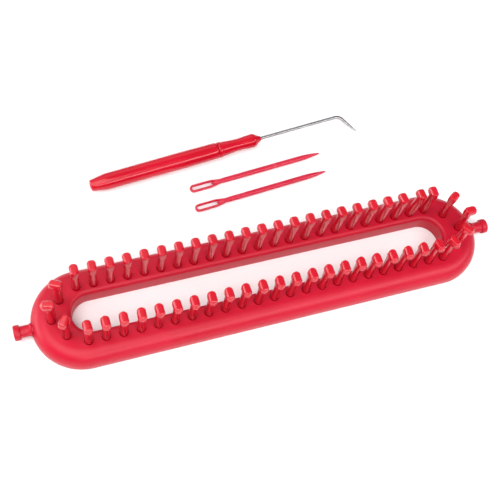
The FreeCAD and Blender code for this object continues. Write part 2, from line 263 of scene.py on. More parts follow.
def make_band_tree(racetrack):
    """The loom's hollow moulding: two swept walls, a deck with sockets, and a ceiling under it."""
    tree, w, given, result = new_tree("loom_band", "GeometryNodeTree", [
        ("Sockets", GEOMETRY, None),
        ("Outer Wall", THING, None),
        ("Slot Wall", THING, None),
        ("Outer Straight", NUMBER, 220.0),
        ("Outer Radius", NUMBER, 29.6),
        ("Deck Inset", NUMBER, 8.9),
        ("Slot Straight", NUMBER, 209.8),
        ("Slot Radius", NUMBER, 11.3),
        ("Slot Inset", NUMBER, 2.7),
        ("Height", NUMBER, 12.0),
        ("Ceiling", NUMBER, 9.6),
        ("Socket Radius", NUMBER, 2.75),
        ("Socket Depth", NUMBER, 1.0),
        ("Segments", COUNT, 130),
        ("Material", MATERIAL, None),
    ], [("Geometry", GEOMETRY)])

    def track(straight, radius):
        node = w.add("GeometryNodeGroup", node_tree=racetrack)
        for name, value in (("Straight", straight), ("Radius", radius), ("Segments", given["Segments"])):
            w.tree.links.new(value, node.inputs[name])
        return node.outputs[0]

    def sweep(straight, radius, wall):
        rail = w.add("GeometryNodeSetCurveNormal", {"Curve": track(straight, radius)}, mode="Z_UP")
        outline = w.add("GeometryNodeObjectInfo", {"Object": wall})
        line = w.add("GeometryNodeMeshToCurve", {"Mesh": outline.outputs["Geometry"]})
        return w.add("GeometryNodeCurveToMesh", {
            "Curve": rail.outputs[0], "Profile Curve": line.outputs[0]}).outputs[0]

    def lifted(geometry, height):
        up = w.add("ShaderNodeCombineXYZ", {"Z": height})
        return w.add("GeometryNodeTransform", {
            "Geometry": geometry, "Translation": up.outputs[0]}).outputs[0]

    deck_outer = track(given["Outer Straight"],
                       w.math("SUBTRACT", given["Outer Radius"], given["Deck Inset"]))
    deck_inner = track(given["Slot Straight"],
                       w.math("ADD", given["Slot Radius"], given["Slot Inset"]))
    rim = w.add("GeometryNodeCurvePrimitiveCircle", {"Resolution": 32, "Radius": given["Socket Radius"]})
    rims = w.add("GeometryNodeInstanceOnPoints", {
        "Points": given["Sockets"], "Instance": rim.outputs["Curve"]})
    rims = w.add("GeometryNodeRealizeInstances", {"Geometry": rims.outputs["Instances"]})
    outlines = w.add("GeometryNodeJoinGeometry", {"Geometry": [deck_outer, deck_inner, rims.outputs[0]]})
    deck = w.add("GeometryNodeFillCurve", {"Curve": outlines.outputs[0]})
    edges = w.add("GeometryNodeJoinGeometry", {"Geometry": [deck_outer, deck_inner]})
    ceiling = w.add("GeometryNodeFillCurve", {"Curve": edges.outputs[0]})
    ceiling = w.add("GeometryNodeFlipFaces", {"Mesh": ceiling.outputs[0]})

    wall = w.add("GeometryNodeMeshCylinder", {
        "Vertices": 32, "Radius": given["Socket Radius"], "Depth": given["Socket Depth"],
    }, fill_type="NONE")
    half_depth = w.math("MULTIPLY", given["Socket Depth"], -0.5)
    floor = w.add("GeometryNodeMeshCircle", {"Vertices": 32, "Radius": given["Socket Radius"]},
                  fill_type="NGON")
    cup = w.add("GeometryNodeJoinGeometry", {"Geometry": [
        lifted(wall.outputs[0], half_depth),
        lifted(floor.outputs[0], w.math("MULTIPLY", given["Socket Depth"], -1.0)),
    ]})
    cups = w.add("GeometryNodeInstanceOnPoints", {
        "Points": given["Sockets"], "Instance": cup.outputs[0]})
    cups = w.add("GeometryNodeRealizeInstances", {"Geometry": cups.outputs["Instances"]})

    shell = w.add("GeometryNodeJoinGeometry", {"Geometry": [
        sweep(given["Outer Straight"], given["Outer Radius"], given["Outer Wall"]),
        sweep(given["Slot Straight"], given["Slot Radius"], given["Slot Wall"]),
        lifted(deck.outputs[0], given["Height"]),
        lifted(ceiling.outputs[0], given["Ceiling"]),
        lifted(cups.outputs[0], given["Height"]),
    ]})
    sealed = w.add("GeometryNodeMergeByDistance", {"Geometry": shell.outputs[0], "Distance": 0.01})
    real = w.add("GeometryNodeRealizeInstances", {"Geometry": sealed.outputs[0]})
    painted = w.add("GeometryNodeSetMaterial", {
        "Geometry": real.outputs["Geometry"], "Material": given["Material"]})
    w.tree.links.new(painted.outputs["Geometry"], result["Geometry"])
    return tree


# ======================================================================================
# mesh helpers, all in millimetres
# ======================================================================================

def new_object(name, mesh):
    piece = bpy.data.objects.new(name, mesh)
    bpy.context.scene.collection.objects.link(piece)
    return piece


def drop(*pieces):
    for piece in pieces:
        bpy.data.objects.remove(piece)


def point_object(name, points, linked=True, **values):
    """Points, joined in a line unless linked is off, with one attribute for each named list."""
    edges = []
    if linked:
        edges = [(i, i + 1) for i in range(len(points) - 1)]
    mesh = bpy.data.meshes.new(name)
    mesh.from_pydata([tuple(p) for p in points], edges, [])
    for label, numbers in values.items():
        if isinstance(numbers[0], float):
            attribute = mesh.attributes.new(label, "FLOAT", "POINT")
            attribute.data.foreach_set("value", numbers)
        else:
            attribute = mesh.attributes.new(label, "FLOAT_VECTOR", "POINT")
            attribute.data.foreach_set("vector", [n for v in numbers for n in v])
    return new_object(name, mesh)


def apply_modifiers(piece):
    """Replaces a piece's mesh by what its modifiers make of it."""
    bpy.context.view_layer.update()
    graph = bpy.context.evaluated_depsgraph_get()
    mesh = bpy.data.meshes.new_from_object(piece.evaluated_get(graph))
    piece.modifiers.clear()
    piece.data = mesh
    return piece


def grow(piece, tree, **inputs):
    """Runs a Geometry Nodes tree on a piece and keeps the plain mesh that comes out."""
    modifier = piece.modifiers.new(tree.name, "NODES")
    modifier.node_group = tree
    sockets = {item.name: item.identifier for item in tree.interface.items_tree
               if item.in_out == "INPUT"}
    for name, value in inputs.items():
        modifier[sockets[name.replace("_", " ")]] = value
    return apply_modifiers(piece)


def rod(name, line, girths, material, sides=32, width=1.0, height=1.0):
    """A rod swept along a line of points, with a girth for each point."""
    piece = point_object(name, line, girth=[float(g) for g in girths])
    return grow(piece, ROD, Sides=sides, Width=width, Height=height, Material=material)


def turned(name, profile, sides=64):
    """A lathe piece along X from (x, radius) points."""
    angles = [math.tau * i / sides for i in range(sides)]
    rings = [[(x, r * math.cos(a), r * math.sin(a)) for a in angles] for x, r in profile]
    return loft(name, rings)


def arc(centre_x, centre_y, radius, start, end, steps):
    """Points on a round corner, from one angle to another, in degrees."""
    points = []
    for i in range(steps + 1):
        a = rad(start + (end - start) * i / steps)
        points.append((centre_x + radius * math.cos(a), centre_y + radius * math.sin(a)))
    return points


def ease(x0, r0, x1, r1, steps):
    """An S-shaped run between two radii, without its first point."""
    points = []
    for i in range(1, steps + 1):
        t = i / steps
        points.append((x0 + (x1 - x0) * t, r0 + (r1 - r0) * t * t * (3 - 2 * t)))
    return points


def loft(name, rings):
    """A closed skin over equal rings of points, capped at both ends."""
    count = len(rings[0])
    points = [p for ring in rings for p in ring]
    faces = []
    for k in range(len(rings) - 1):
        for i in range(count):
            j = (i + 1) % count
            faces.append((k * count + i, k * count + j, (k + 1) * count + j, (k + 1) * count + i))
    faces.append(tuple(range(count)))
    faces.append(tuple(range((len(rings) - 1) * count, len(rings) * count)))
    mesh = bpy.data.meshes.new(name)
    mesh.from_pydata(points, [], faces)
    piece = new_object(name, mesh)
    point_faces_out(mesh)
    return piece


def prism(name, corners, along):
    """A flat outline pushed along a vector."""
    far = [tuple(Vector(p) + Vector(along)) for p in corners]
    return loft(name, [[tuple(p) for p in corners], far])


def point_faces_out(mesh):
    """Joins points that fall together and turns every face outward."""
    work = bmesh.new()
    work.from_mesh(mesh)
    bmesh.ops.remove_doubles(work, verts=work.verts, dist=0.0005)
    bmesh.ops.recalc_face_normals(work, faces=work.faces)
    work.to_mesh(mesh)
    work.free()


def soften(piece, width, segments=2, angle=28):
    """Rounds a piece's sharp edges."""
    bevel = piece.modifiers.new("soften", "BEVEL")
    bevel.width = width
    bevel.segments = segments
    bevel.limit_method = "ANGLE"
    bevel.angle_limit = rad(angle)
    bevel.miter_outer = "MITER_ARC"
    return apply_modifiers(piece)


def combine(piece, operation, others):
    """Joins other pieces to a piece, or cuts them from it, and drops them."""
    for other in others:
        modifier = piece.modifiers.new(operation.lower(), "BOOLEAN")
        modifier.operation = operation
        modifier.solver = "EXACT"
        modifier.object = other
        apply_modifiers(piece)
    drop(*others)
    return piece


def seat_of(piece, node, heading):
    """Where a piece has to stand for its turned box to share its node's middle."""
    turn = Matrix.Rotation(rad(heading), 3, "Z")
    corners = [turn @ vertex.co for vertex in piece.data.vertices]
    low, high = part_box(node)
    middle = [(min(c[k] for c in corners) + max(c[k] for c in corners)) / 2 for k in range(3)]
    return (low + high) / (2 * MM) - Vector(middle)


def finish_piece(piece, body, material, nodes, smooth_angle=32, offset=(0, 0, 0), heading=0.0):
    """Scales a piece to metres, puts it in place, sets its material, and hands it to its body."""
    mesh = piece.data
    mesh.transform(Matrix.Rotation(rad(heading), 4, "Z"))
    for vertex in mesh.vertices:
        vertex.co = (vertex.co + Vector(offset)) * MM
    work = bmesh.new()
    work.from_mesh(mesh)
    bmesh.ops.remove_doubles(work, verts=work.verts, dist=0.002 * MM)
    bmesh.ops.recalc_face_normals(work, faces=work.faces)
    work.to_mesh(mesh)
    work.free()
    for name in ("turn", "girth"):
        if name in mesh.attributes:
            mesh.attributes.remove(mesh.attributes[name])
    mesh.materials.clear()
    mesh.materials.append(material)
    mesh.polygons.foreach_set("use_smooth", [True] * len(mesh.polygons))
    mesh.set_sharp_from_angle(angle=rad(smooth_angle))
    mesh.update()
    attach(piece, body)
    if nodes:
        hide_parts(*nodes)
    return piece


# ======================================================================================
# shared surface effects
# ======================================================================================

def group_node(w, tree, **inputs):
    node = w.add("ShaderNodeGroup", node_tree=tree)
    for name, value in inputs.items():
        socket = node.inputs[name.replace("_", " ")]
        if isinstance(value, bpy.types.NodeSocket):
            w.tree.links.new(value, socket)
        else:
            socket.default_value = value
    return node


def make_moulding_tree():
    """The faint ripple and fine tooth that an injection mould leaves on plastic."""
    tree, w, given, result = new_tree("mould_surface", "ShaderNodeTree", [
        ("Ripple Scale", NUMBER, 90.0),
        ("Tooth Scale", NUMBER, 3000.0),
        ("Tooth Share", NUMBER, 0.3),
    ], [("Height", NUMBER), ("Cloud", NUMBER)])
    where = w.add("ShaderNodeTexCoord").outputs["Object"]
    ripple = w.add("ShaderNodeTexNoise", {
        "Vector": where, "Scale": given["Ripple Scale"], "Detail": 3.0, "Roughness": 0.5})
    tooth = w.add("ShaderNodeTexNoise", {
        "Vector": where, "Scale": given["Tooth Scale"], "Detail": 2.0, "Roughness": 0.6})
    share = w.math("MULTIPLY", tooth.outputs[0], given["Tooth Share"])
    w.tree.links.new(w.math("ADD", ripple.outputs[0], share), result["Height"])
    cloud = w.add("ShaderNodeTexNoise", {"Vector": where, "Scale": 28.0, "Detail": 4.0, "Roughness": 0.6})
    w.tree.links.new(cloud.outputs[0], result["Cloud"])
    return tree


def make_scuff_tree():
    """Short hairline scratches in two directions, in patches."""
    tree, w, given, result = new_tree("handling_scuffs", "ShaderNodeTree", [
        ("Scale", NUMBER, 1.0),
        ("Amount", NUMBER, 0.5),
    ], [("Mask", NUMBER)])
    where = w.add("ShaderNodeTexCoord").outputs["Object"]
    masks = []
    for turn, stretch in ((0.12, (60.0, 1700.0, 900.0)), (-0.55, (80.0, 1500.0, 900.0))):
        mapping = w.add("ShaderNodeMapping", {
            "Vector": where, "Rotation": (0.2, 0.1, turn), "Scale": stretch})
        sized = w.add("ShaderNodeVectorMath", {0: mapping.outputs[0]}, operation="SCALE")
        w.tree.links.new(given["Scale"], sized.inputs["Scale"])
        streak = w.add("ShaderNodeTexNoise", {"Vector": sized.outputs[0], "Scale": 1.0, "Detail": 1.0})
        masks.append(w.add("ShaderNodeMapRange", {
            "Value": streak.outputs[0], "From Min": 0.66, "From Max": 0.74}).outputs[0])
    patches = w.add("ShaderNodeTexNoise", {"Vector": where, "Scale": 55.0, "Detail": 3.0})
    patch = w.add("ShaderNodeMapRange", {
        "Value": patches.outputs[0], "From Min": 0.42, "From Max": 0.7}).outputs[0]
    both = w.math("MAXIMUM", masks[0], masks[1])
    scuffed = w.math("MULTIPLY", both, patch)
    w.tree.links.new(w.math("MULTIPLY", scuffed, given["Amount"], clamp=True), result["Mask"])
    return tree


def make_edge_tree():
    """A mask of the edges that rub bright, broken up by noise."""
    tree, w, given, result = new_tree("rubbed_edges", "ShaderNodeTree", [
        ("Radius", NUMBER, 0.0004),
        ("Amount", NUMBER, 0.6),
    ], [("Mask", NUMBER)])
    rounded = w.add("ShaderNodeBevel", samples=4)
    w.tree.links.new(given["Radius"], rounded.inputs["Radius"])
    true = w.add("ShaderNodeNewGeometry")
    alike = w.add("ShaderNodeVectorMath", {
        0: rounded.outputs[0], 1: true.outputs["Normal"]}, operation="DOT_PRODUCT")
    edge = w.add("ShaderNodeMapRange", {
        "Value": alike.outputs["Value"], "From Min": 0.995, "From Max": 0.88}).outputs[0]
    where = w.add("ShaderNodeTexCoord").outputs["Object"]
    breaks = w.add("ShaderNodeTexNoise", {"Vector": where, "Scale": 420.0, "Detail": 3.0})
    broken = w.add("ShaderNodeMapRange", {
        "Value": breaks.outputs[0], "From Min": 0.35, "From Max": 0.65}).outputs[0]
    worn = w.math("MULTIPLY", edge, broken)
    w.tree.links.new(w.math("MULTIPLY", worn, given["Amount"], clamp=True), result["Mask"])
    return tree


# ======================================================================================
# materials
# ======================================================================================

def new_material(name):
    material = bpy.data.materials.new(name)
    material.use_nodes = True
    material.node_tree.nodes.clear()
    w = Wiring(material.node_tree)
    shader = w.add("ShaderNodeBsdfPrincipled")
    output = w.add("ShaderNodeOutputMaterial")
    w.tree.links.new(shader.outputs[0], output.inputs["Surface"])
    return material, w, shader.inputs


def mix_colour(w, factor, first, second):
    node = w.add("ShaderNodeMix", data_type="RGBA")
    given = ((node.inputs["Factor"], factor), (node.inputs[6], first), (node.inputs[7], second))
    for socket, value in given:
        if isinstance(value, bpy.types.NodeSocket):
            w.tree.links.new(value, socket)
        else:
            socket.default_value = value
    return node.outputs[2]


def plastic(name, deep, bright, rubbed, roughness, ripple, bump, scuffs, edges, specular=0.5,
            translucent=0.0):
    """Moulded red plastic: two shades in soft clouds, hairline scuffs, and paler rubbed edges."""
    material, w, shader = new_material(name)
    surface = group_node(w, MOULDING, Ripple_Scale=ripple, Tooth_Scale=2600.0, Tooth_Share=0.25)
    scuff = group_node(w, SCUFFS, Scale=1.0, Amount=scuffs).outputs[0]
    edge = group_node(w, EDGES, Radius=0.00035, Amount=edges).outputs[0]
    cloud = w.add("ShaderNodeMapRange", {
        "Value": surface.outputs["Cloud"], "From Min": 0.3, "From Max": 0.7}).outputs[0]
    colour = mix_colour(w, cloud, (*deep, 1), (*bright, 1))
    colour = mix_colour(w, w.math("MAXIMUM", edge, w.math("MULTIPLY", scuff, 0.25)), colour, (*rubbed, 1))
    w.tree.links.new(colour, shader["Base Color"])
    rough = w.math("MULTIPLY_ADD", cloud, 0.07, roughness - 0.03)
    rough = w.math("MULTIPLY_ADD", scuff, 0.25, rough, clamp=True)
    w.tree.links.new(rough, shader["Roughness"])
    height = w.math("MULTIPLY_ADD", scuff, -0.35, surface.outputs["Height"])
    relief = w.add("ShaderNodeBump", {"Strength": bump, "Distance": 0.0002, "Height": height})
    w.tree.links.new(relief.outputs[0], shader["Normal"])
    shader["Specular IOR Level"].default_value = specular
    if translucent:
        shader["Subsurface Weight"].default_value = translucent
        shader["Subsurface Radius"].default_value = (1.0, 0.15, 0.15)
        shader["Subsurface Scale"].default_value = 0.0012
    return material


def plated_steel():
    """Bright drawn wire: lengthwise polishing lines and a faint cloudiness."""
    material, w, shader = new_material("plated_steel")
    where = w.add("ShaderNodeTexCoord").outputs["Object"]
    along = w.add("ShaderNodeMapping", {
        "Vector": where, "Rotation": (0, 0, rad(-TOOL_HEADING)), "Scale": (120.0, 5200.0, 5200.0)})
    lines = w.add("ShaderNodeTexNoise", {"Vector": along.outputs[0], "Scale": 1.0, "Detail": 2.0})
    cloud = w.add("ShaderNodeTexNoise", {"Vector": where, "Scale": 240.0, "Detail": 4.0})
    scuff = group_node(w, SCUFFS, Scale=1.6, Amount=0.7).outputs[0]
    tone = w.add("ShaderNodeMapRange", {"Value": cloud.outputs[0], "From Min": 0.3, "From Max": 0.7})
    colour = mix_colour(w, tone.outputs[0], (0.29, 0.29, 0.30, 1), (0.42, 0.41, 0.42, 1))
    colour = mix_colour(w, scuff, colour, (0.22, 0.21, 0.21, 1))
    w.tree.links.new(colour, shader["Base Color"])
    shader["Metallic"].default_value = 1.0
    rough = w.math("MULTIPLY_ADD", lines.outputs[0], 0.16, 0.08)
    rough = w.math("MULTIPLY_ADD", scuff, 0.2, rough, clamp=True)
    w.tree.links.new(rough, shader["Roughness"])
    relief = w.add("ShaderNodeBump", {"Strength": 0.12, "Distance": 0.00005, "Height": lines.outputs[0]})
    w.tree.links.new(relief.outputs[0], shader["Normal"])
    return material


def studio_paper():
    material, w, shader = new_material("studio_paper")
    where = w.add("ShaderNodeTexCoord").outputs["Object"]
    fibre = w.add("ShaderNodeTexNoise", {"Vector": where, "Scale": 900.0, "Detail": 3.0})
    colour = mix_colour(w, fibre.outputs[0], (0.88, 0.88, 0.88, 1), (0.91, 0.91, 0.91, 1))
    w.tree.links.new(colour, shader["Base Color"])
    shader["Roughness"].default_value = 0.9
    shader["Specular IOR Level"].default_value = 0.1
    return material


# ======================================================================================
# the loom
# ======================================================================================

def peg_places():
    """Name, place and angles of each peg, hooks outward, some turned in their sockets."""
    stands = []
    for i in range(ROW_PEGS):
        x = i * PITCH - ROW_LENGTH / 2
        stands.append(("peg_back_%02d" % (i + 1), x, ROW_OFFSET, 90.0))
        stands.append(("peg_front_%02d" % (i + 1), x, -ROW_OFFSET, -90.0))
    end_pegs = ((1, CORNER_ANGLE, CORNER_RING), (2, 0.0, END_RING), (3, -CORNER_ANGLE, CORNER_RING))
    for number, angle, ring in end_pegs:
        x = ROW_LENGTH / 2 + ring * math.cos(rad(angle))
        y = ring * math.sin(rad(angle))
        stands.append(("peg_right_%d" % number, x, y, angle))
        stands.append(("peg_left_%d" % number, -x, y, 180.0 - angle))
    places = []
    for index, (name, x, y, heading) in enumerate(stands):
        yaw = heading + TURNED.get(name, 0.0) + YAW_WANDER * math.sin(2.4 * index)
        turn = Matrix.Rotation(rad(yaw), 3, "Z")
        if name == BENT_PEG:
            turn = Matrix.Rotation(rad(BENT_LEAN), 3, "Y") @ turn
        places.append((name, (x, y), heading, tuple(turn.to_euler())))
    return places


def head_half(x):
    """Half width of the head in plan, round at both ends."""
    half = HEAD_HALF
    for room, corner in ((x + HEAD_INNER, INNER_CORNER), (HEAD_OUTER - x, OUTER_CORNER)):
        if room < corner:
            half += math.sqrt(max(0.0, corner ** 2 - (corner - room) ** 2)) - corner
    return half


def head_top(x, y, half):
    """Height of the head's skin: a flat crown, chamfered sides, and a roll over into the lip."""
    height = PEG_HEIGHT - HEAD_FALL * (x + HEAD_INNER) / (LIP_START + HEAD_INNER)
    chamfer = min(CHAMFER, 0.6 * half)
    share = max(0.0, abs(y) - half + chamfer) / chamfer
    height -= CHAMFER_DROP * min(1.0, chamfer / CHAMFER) * share ** 1.4
    near = x + HEAD_INNER
    if near < INNER_ROUND:
        height -= INNER_ROUND - math.sqrt(max(0.0, INNER_ROUND ** 2 - (INNER_ROUND - near) ** 2))
    over = x - LIP_START + LIP_CURVE * (y / HEAD_HALF) ** 2
    if over > 0:
        tilt = rad(LIP_TILT)
        roll = LIP_ROLL * math.sin(tilt)
        if over < roll:
            height -= LIP_ROLL - math.sqrt(LIP_ROLL ** 2 - over ** 2)
        else:
            height -= LIP_ROLL * (1 - math.cos(tilt)) + (over - roll) * math.tan(tilt)
    return max(height, LIP_TOP)


def make_head():
    """The peg's hooked head, lofted from its inner end to its lip."""
    stations = [-HEAD_INNER + d for d in (0, 0.06, 0.2, 0.4, 0.7, 1.1, 1.8, 3.4)]
    stations += [HEAD_OUTER - d for d in (2.6, 2.2, 1.8, 1.5, 1.2, 0.9, 0.6, 0.36, 0.18, 0.06, 0)]
    rings = []
    for x in stations:
        half = head_half(x)
        low = HEAD_BASE
        if x > STEM_TOP:
            low += (LIP_BASE - HEAD_BASE) * (x - STEM_TOP) / (HEAD_OUTER - STEM_TOP)
        chamfer = min(CHAMFER, 0.6 * half)
        under = min(0.3, 0.3 * half)
        right = [(half - under, low), (half, low + under)]
        for share in (1.0, 0.72, 0.42, 0.16, 0.0):
            y = half - chamfer + chamfer * share
            right.append((y, head_top(x, y, half)))
        right.append((0.45 * (half - chamfer), head_top(x, 0.45 * (half - chamfer), half)))
        left = [(-y, z) for y, z in reversed(right)]
        rings.append([(x, y, z) for y, z in right + left])
    return loft("head", rings)


def make_peg():
    """One peg, foot on the deck at z = 0, its hook pointing along +X."""
    foot = -SOCKET_DEPTH
    end = foot - SPIGOT_LENGTH
    profile = [(end, SPIGOT_RADIUS - SPIGOT_CHAMFER), (end + SPIGOT_CHAMFER, SPIGOT_RADIUS)]
    profile += [(foot - 0.02, SPIGOT_RADIUS), (foot, STEM_FOOT - STEM_CHAMFER)]
    profile += [(foot + STEM_CHAMFER, STEM_FOOT), (foot + STEM_KNEE, STEM_FOOT - 0.15)]
    profile += [(HEAD_BASE + STEM_INTO_HEAD, STEM_TOP)]
    rings = []
    for z, radius in profile:
        ring = [(radius * math.cos(rad(a)), radius * math.sin(rad(a)), z) for a in range(0, 360, 15)]
        rings.append(ring)
    stem = loft("stem", rings)
    floor_x = STEM_TOP - GROOVE_DEPTH
    corners = [(floor_x, -GROOVE_HALF + GROOVE_CORNER, GROOVE_FOOT)]
    corners += [(floor_x + GROOVE_CORNER, -GROOVE_HALF, GROOVE_FOOT)]
    corners += [(5, -GROOVE_HALF - GROOVE_CORNER, GROOVE_FOOT)]
    corners += [(x, -y, z) for x, y, z in reversed(corners)]
    groove = prism("groove", corners, (0, 0, HEAD_BASE - GROOVE_FOOT))
    combine(stem, "DIFFERENCE", [groove])

    inner = GUSSET_SETBACK - HEAD_INNER
    edge = [(GUSSET_TIP, GUSSET_FOOT), (GUSSET_WAIST, HEAD_BASE - GUSSET_WAIST_DROP)]
    edge += [(HEAD_HALF - GUSSET_MARGIN, HEAD_BASE + GUSSET_INTO_HEAD)]
    outline = [(inner, -GUSSET_TIP, GUSSET_FOOT)]
    outline += [(inner, y, z) for y, z in edge] + [(inner, -y, z) for y, z in reversed(edge[1:])]
    gusset = soften(prism("gusset", outline, (-inner, 0, 0)), 0.2, segments=1)
    return combine(make_head(), "UNION", [stem, gusset])


def make_pegs(places, material):
    """All pegs, planted in groups along the two rows and round the two ends."""
    peg = make_peg()
    groups = (("back_row_pegs", "peg_back_"), ("front_row_pegs", "peg_front_"),
              ("left_end_pegs", "peg_left_"), ("right_end_pegs", "peg_right_"))
    for name, prefix in groups:
        mine = [place for place in places if place[0].startswith(prefix)]
        stands = [(x, y, FRAME_HEIGHT) for node, (x, y), heading, turn in mine]
        points = point_object(name, stands, linked=False, turn=[place[3] for place in mine])
        grow(points, PLANT, Piece=peg, Material=material)
        finish_piece(points, "loom", material, [place[0] for place in mine])
    drop(peg)


def wall_outline(name, side):
    """Section of a wall from deck level down, round the base rim and up to the ceiling.
    side is -1 where the frame lies inward of the rail, as at the outer wall, and +1 at the slot."""
    ceiling = FRAME_HEIGHT - DECK
    if side < 0:
        points = [(SHOULDER + FLAT_MARGIN, FRAME_HEIGHT)]
        points += arc(SHOULDER, FRAME_HEIGHT - SHOULDER, SHOULDER, 90, 180, 14)
        inner_edge = arc(SHOULDER, FRAME_HEIGHT - SHOULDER, SHOULDER - WALL, 180, 90, 8)
        inner_edge.append((SHOULDER + FLAT_MARGIN, ceiling))
    else:
        points = [(SLOT_EDGE + SLOT_MARGIN, FRAME_HEIGHT)]
        points += arc(SLOT_EDGE, FRAME_HEIGHT - SLOT_EDGE, SLOT_EDGE, 90, 180, 8)
        inner_edge = [(WALL, ceiling - 0.3), (SLOT_EDGE + SLOT_MARGIN, ceiling)]
    points += arc(BASE_EDGE, BASE_EDGE, BASE_EDGE, 180, 270, 4)
    points += arc(WALL - BASE_EDGE, BASE_EDGE, BASE_EDGE, 270, 360, 4)
    points += inner_edge
    return point_object(name, [(side * x, -z, 0.0) for x, z in points])


def make_frame(places, material):
    """The hollow racetrack moulding with a socket for each peg."""
    centres = [(x, y, 0.0) for node, (x, y), heading, turn in places]
    sockets = point_object("loom_body", centres, linked=False)
    outer = wall_outline("outer_wall", -1)
    slot = wall_outline("slot_wall", 1)
    grow(sockets, BAND, Outer_Wall=outer, Slot_Wall=slot, Outer_Straight=ROW_LENGTH,
         Outer_Radius=OUTER_RADIUS, Deck_Inset=SHOULDER + FLAT_MARGIN, Slot_Straight=SLOT_STRAIGHT,
         Slot_Radius=SLOT_RADIUS, Slot_Inset=SLOT_EDGE + SLOT_MARGIN, Height=FRAME_HEIGHT,
         Ceiling=FRAME_HEIGHT - DECK, Socket_Radius=SOCKET_RADIUS, Socket_Depth=SOCKET_DEPTH,
         Segments=130, Material=material)
    drop(outer, slot)
    finish_piece(sockets, "loom", material, ["loom_frame"])


def make_underside(places, material):
    """Socket bosses and the ribs that tie some of them to the outer wall."""
    ceiling = FRAME_HEIGHT - DECK
    bore = SPIGOT_RADIUS + BORE_CLEARANCE
    top = ceiling + CEILING_SINK
    profile = [(bore, BOSS_FOOT), (BOSS_RADIUS - BOSS_CHAMFER, BOSS_FOOT)]
    profile += [(BOSS_RADIUS, BOSS_FOOT + BOSS_CHAMFER), (BOSS_RADIUS, top), (bore, top)]
    rings = []
    for a in range(0, 360, 15):
        rings.append([(r * math.cos(rad(a)), r * math.sin(rad(a)), z) for r, z in profile])
    boss = loft("boss", rings + [rings[0]])
    work = bmesh.new()
    work.from_mesh(boss.data)
    caps = [face for face in work.faces if len(face.verts) == len(profile)]
    bmesh.ops.delete(work, geom=caps, context="FACES_ONLY")
    work.to_mesh(boss.data)
    work.free()
    feet = [(x, y, 0.0) for node, (x, y), heading, turn in places]
    still = [(0.0, 0.0, 0.0)] * len(feet)
    bosses = point_object("socket_bosses", feet, linked=False, turn=still)
    grow(bosses, PLANT, Piece=boss, Material=material)

    reach = OUTER_RADIUS - ROW_OFFSET - WALL
    start = BOSS_RADIUS - 0.5
    corners = [(start, -RIB_HALF, top), (start, -RIB_HALF, RIB_FOOT)]
    corners += [(reach + 0.1, -RIB_HALF, RIB_FOOT), (reach - RIB_SLANT, -RIB_HALF, top)]
    rib = prism("rib", corners, (0, 2 * RIB_HALF, 0))
    ribbed = [place for i, place in enumerate(places) if place[0][4] in "bf" and (i // 2) % 4 == 0]
    roots = [(x, y, 0.0) for node, (x, y), heading, turn in ribbed]
    outward = [(0.0, 0.0, rad(heading)) for node, spot, heading, turn in ribbed]
    ribs = point_object("deck_ribs", roots, linked=False, turn=outward)
    grow(ribs, PLANT, Piece=rib, Material=material)
    drop(boss, rib)
    for piece in (bosses, ribs):
        finish_piece(piece, "loom", material, [])


def make_knob(node, side, material):
    """Spool-shaped anchor knob with a flared root and a rounded flange."""
    axis = (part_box(node)[0].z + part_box(node)[1].z) / 2 / MM
    root = frame_size.x / 2
    flange = (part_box(node)[1].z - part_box(node)[0].z) / 2 / MM
    neck_end = root + KNOB_NECK_LENGTH
    tip = neck_end + KNOB_FLANGE_LENGTH
    flare_start = root - 0.6
    profile = [(root - KNOB_TENON, KNOB_NECK), (flare_start, KNOB_NECK)]
    profile += ease(flare_start, KNOB_NECK + 0.7, root + 1.1, KNOB_NECK, 6)
    for a in range(0, 91, 18):
        x = neck_end - KNOB_FILLET * (1 - math.sin(rad(a)))
        profile.append((x, KNOB_NECK + KNOB_FILLET * (1 - math.cos(rad(a)))))
    profile += [(neck_end + 0.12, flange - 0.12), (neck_end + 0.4, flange)]
    profile += [(x, r) for r, x in arc(flange - KNOB_ROUND, tip - KNOB_ROUND, KNOB_ROUND, 0, 90, 6)]
    profile += [(tip, flange - 1.7), (tip - 0.2, flange - 2.0)]
    knob = turned(node.replace("knob", "anchor_knob"), profile, 48)
    finish_piece(knob, "loom", material, [node], offset=(0, 0, axis),
                 heading=0.0 if side > 0 else 180.0)


# ======================================================================================
# the hook tool
# ======================================================================================

TOOL_HEADING = 5.2
BARREL_LENGTH = 84.0
BARREL_RADIUS = 5.3
GRIP_LENGTH = 30.0
COLLAR_RADIUS = 4.95
WAIST_RADIUS = 3.86
WAIST_PLACE = 14.0
SWELL_RADIUS = 4.45
SHANK_RADIUS = 1.05
SHANK_BURIED = 24.0
SHANK_REACH = 56.7
HOOK_LENGTH = 14.6
HOOK_SWING = 52.0
HOOK_TIP = 0.5
HOOK_BEND = 6.0


